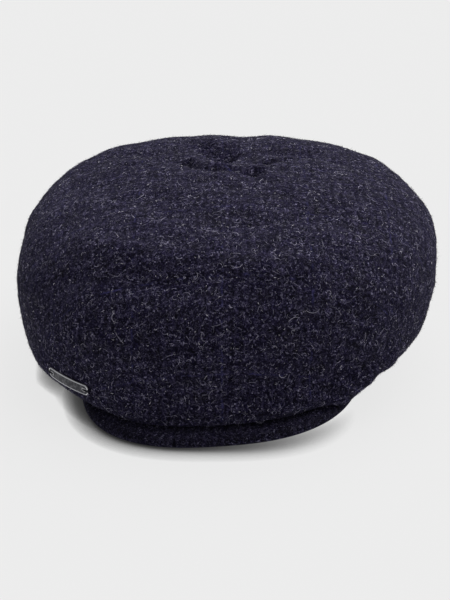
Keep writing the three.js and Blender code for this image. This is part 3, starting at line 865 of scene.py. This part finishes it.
def strands(name, points, normals, wraps):
    # a ribbon for each hair: it starts at a random place of the cloth, turns evenly by its curl and
    # rises from the cloth by a share of its length; a hair that would reach the floor is left out
    h = hairs[name]
    down = points[1:] - points[:-1]
    side = np.roll(points, -1, 1) - points
    area = np.linalg.norm(np.cross(down, side[:-1]), axis=-1)
    if not wraps:
        area = area[:, :-1]
    cell = random.choice(area.size, size=h["count"], p=area.ravel() / area.sum())
    i, j = cell // area.shape[1], cell % area.shape[1]
    k = (j + 1) % points.shape[1]
    s, t = random.random((2, h["count"], 1))
    root, normal = ((grid[i, j] * (1 - s) + grid[i + 1, j] * s) * (1 - t)
                    + (grid[i, k] * (1 - s) + grid[i + 1, k] * s) * t for grid in (points, normals))
    normal = normal / np.linalg.norm(normal, axis=-1, keepdims=True)
    first = np.cross(normal, random.normal(size=(h["count"], 3)))
    first /= np.linalg.norm(first, axis=-1, keepdims=True)
    second = np.cross(normal, first)
    length = random.uniform(*h["length"], h["count"])
    curl = random.normal(0, h["curl"], h["count"])
    rise = np.abs(random.normal(0, h["stand"], h["count"]))
    share = np.linspace(0, 1, h["segments"] + 1)
    heading = (curl[:, None] * share[:-1])[..., None]
    step = np.cos(heading) * first[:, None] + np.sin(heading) * second[:, None]
    step *= (length / h["segments"])[:, None, None]
    path = np.concatenate([root[:, None], root[:, None] + np.cumsum(step, 1)], 1)
    arch = h["lie"] * np.sin(math.pi * np.minimum(share + hairForm["archStart"], 1))
    lift = arch + rise[:, None] * share ** hairForm["riseLate"]
    path += normal[:, None] * (lift[..., None] - hairForm["sunk"])
    tangent = np.gradient(path, axis=1)
    roll = random.uniform(-1, 1, (h["count"], 1, 1))
    sideways = np.cross(tangent, normal[:, None] * np.cos(roll) + second[:, None] * np.sin(roll))
    sideways /= np.maximum(np.linalg.norm(sideways, axis=-1, keepdims=True), 1e-9)
    width = random.uniform(*h["width"], h["count"])[:, None] * (1 - hairForm["thins"] * share ** 2)
    edge = sideways * width[..., None] / 2
    shade = random.random(h["count"]) ** h["uneven"]
    clear = path[..., 2].min(1) > hairForm["clearOfFloor"]
    rows = h["segments"] + 1
    start = (np.arange(clear.sum())[:, None] * rows + np.arange(h["segments"])) * 2
    faces = np.stack([start, start + 1, start + 3, start + 2], -1).reshape(-1, 4)
    piece = addMesh(name, np.stack([path - edge, path + edge], 2)[clear].reshape(-1, 3), [faces])
    attribute = piece.data.attributes.new("shade", "FLOAT", "POINT")
    attribute.data.foreach_set("value", np.repeat(shade[clear], rows * 2).astype(np.float32))
    return piece


for name in ("crown_hairs_pale", "crown_hairs_navy", "crown_kemps", "crown_stray_hairs"):
    piece = strands(name, crownOutside, crownNormals, True)
    finishPiece(piece, woolHair(name, *hairs[name]["colours"]))
peakNormals = gridNormals(peakTop, False)
peakNormals *= np.sign(peakNormals[..., 2].sum())
piece = strands("peak_hairs", peakTop, peakNormals, False)
finishPiece(piece, woolHair("peak_hairs", *hairs["peak_hairs"]["colours"]))
print("hairs made")

# floorHalf and the reach of the painted contact shadow in metres, sunSpread in degrees; sunFrom
# points towards the lamp
studio = {
    "floorHalf": 12.0, "floor": "#3c3c3c", "glow": 0.774, "paintedShadowReach": 0.013,
    "paintedShadowPower": 3.2, "paintedShadowLean": (0.75, 0.25, 0.6), "paintedShadowSamples": 12,
    "world": 0.45, "sun": 4.0, "sunSpread": 60, "sunFrom": (0.32, 0.45, 0.87),
}
corners = np.array([[-1, -1, 0], [1, -1, 0], [1, 1, 0], [-1, 1, 0]]) * studio["floorHalf"]
floor = addMesh("studio_floor", corners / millimetre, [np.array([[0, 1, 2, 3]])], smooth=False)
# An even pale floor that glows. Ambient occlusion dims its glow where the cap lies close: a painted
# contact shadow, more on the side away from the lamps, as the lean points towards them
sheet, sheetTree, sheetShader = newMaterial("glowingFloorPaintedShadow")
lean = addNode(sheetTree, "ShaderNodeCombineXYZ", dict(enumerate(studio["paintedShadowLean"])))
nearness = addNode(sheetTree, "ShaderNodeAmbientOcclusion",
                   {"samples": studio["paintedShadowSamples"], "Distance": studio["paintedShadowReach"]},
                   {"Normal": (lean, 0)})
# the occlusion raised to a power is the painted contact shadow that dims the floor's glow
paintedShadowFactor = addNode(sheetTree, "ShaderNodeMath", {"operation": "POWER", 1: studio["paintedShadowPower"]},
                    {0: (nearness, "AO")})
glow = addNode(sheetTree, "ShaderNodeMath", {"operation": "MULTIPLY", 1: studio["glow"]},
               {0: (paintedShadowFactor, 0)})
sheetTree.links.new(glow.outputs[0], sheetShader.inputs["Emission Strength"])
sheetShader.inputs["Emission Color"].default_value = (1, 1, 1, 1)
sheetShader.inputs["Base Color"].default_value = linear(studio["floor"])
sheetShader.inputs["Roughness"].default_value = 1.0
sheetShader.inputs["Specular IOR Level"].default_value = 0.0
floor.data.materials.append(sheet)

scene = bpy.context.scene
scene.view_settings.view_transform = "Standard"
world = bpy.data.worlds.new("studioAir")
world.use_nodes = True
background = world.node_tree.nodes["Background"]
background.inputs["Color"].default_value = (1, 1, 1, 1)
background.inputs["Strength"].default_value = studio["world"]
scene.world = world
sun = bpy.data.lights.new("softSky", "SUN")
sun.energy = studio["sun"]
sun.angle = math.radians(studio["sunSpread"])
sunObject = bpy.data.objects.new("softSky", sun)
sunObject.rotation_euler = (-Vector(studio["sunFrom"])).to_track_quat("-Z", "Y").to_euler()
scene.collection.objects.link(sunObject)

cameraPlace = {"lookAt": (0, 0, 31), "distance": 1000, "elevation": 24, "lens": 91.8}
eye = math.radians(cameraPlace["elevation"])
target = Vector((np.array(cameraPlace["lookAt"]) + headCentre) * millimetre)
back = Vector((0, -math.cos(eye), math.sin(eye)))
camera = bpy.data.objects.new("camera", bpy.data.cameras.new("camera"))
camera.data.lens = cameraPlace["lens"]
camera.location = target + back * cameraPlace["distance"] * millimetre
camera.rotation_euler = (-back).to_track_quat("-Z", "Y").to_euler()
scene.collection.objects.link(camera)
scene.camera = camera
print("floor, light and camera set")
